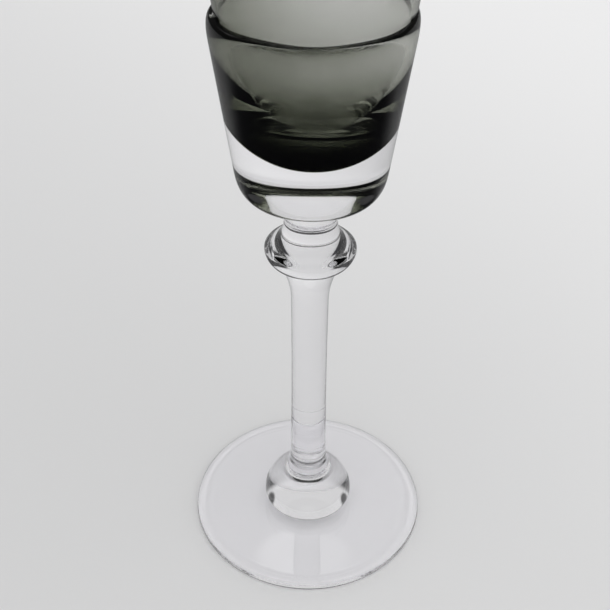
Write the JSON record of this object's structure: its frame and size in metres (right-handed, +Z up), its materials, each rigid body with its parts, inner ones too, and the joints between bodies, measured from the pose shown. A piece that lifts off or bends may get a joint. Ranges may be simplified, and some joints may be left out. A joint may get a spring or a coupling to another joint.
{
  "type": "champagne glass",
  "caption": "Tall stemmed champagne glass: smoke-grey conical bowl cased in thick clear glass below a fine ridge, knopped solid stem, flat round foot.",
  "frame": {"origin": "centre of the foot's resting ring, on the surface that the glass stands on", "axes": "+Z up along the axis of the glass, from the foot to the rim; X and Y level"},
  "size_m": [0.07, 0.07, 0.2398],
  "materials": {
    "smoke_glass": "fire-polished smoke-grey glass with a faint olive cast",
    "clear_glass": "fire-polished clear glass"
  },
  "bodies": {
    "root": {"smoke_bowl": "smoke_glass", "clear_casing": "clear_glass", "bowl_collar": "clear_glass", "upper_knop": "clear_glass", "stem": "clear_glass", "foot_collar": "clear_glass", "foot_knop": "clear_glass", "foot": "clear_glass"}
  },
  "joints": []
}
